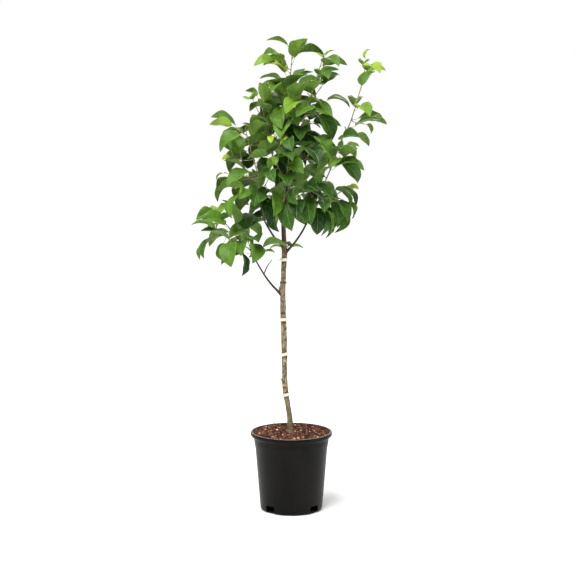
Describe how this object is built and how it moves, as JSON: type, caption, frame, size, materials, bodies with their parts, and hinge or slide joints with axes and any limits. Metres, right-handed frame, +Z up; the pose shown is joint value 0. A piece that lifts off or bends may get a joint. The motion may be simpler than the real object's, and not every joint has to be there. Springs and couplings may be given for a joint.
{
  "type": "potted tree",
  "caption": "Young leafy pear tree on one slender trunk with open upward boughs, standing in a round tapered nursery pot filled with bark chips.",
  "frame": {"origin": "middle of the pot's flat underside", "axes": "+Z up the tree, +X to the right and +Y away as the tree is seen from its front"},
  "size_m": [0.5624, 0.3635, 1.3833],
  "materials": {
    "pot_plastic": "charcoal black moulded plastic with a soft sheen",
    "bark_chips": "damp red-brown bark chips and granules, rough",
    "bark": "olive grey-brown young pear bark, matt, with small ridges and knots",
    "tie": "cream soft tying tape, matt",
    "foliage": "leathery pear leaves, glossy dark to yellow-green above and paler below"
  },
  "bodies": {
    "root": {"pot": "pot_plastic", "soil": "bark_chips", "trunk": "bark", "leader": "bark", "low_left_bough": "bark", "left_bough": "bark", "right_bough": "bark", "fork_left_bough": "bark", "fork_back_bough": "bark", "tie_low": "tie", "tie_middle": "tie", "tie_upper": "tie", "tie_top": "tie", "low_left_spray": "foliage", "left_spray": "foliage", "upper_left_spray": "foliage", "top_spray": "foliage", "top_right_spray": "foliage", "right_low_spray": "foliage", "right_high_spray": "foliage", "front_spray": "foliage", "front_high_spray": "foliage", "back_spray": "foliage", "back_high_spray": "foliage", "trunk_spray": "foliage"}
  },
  "joints": []
}
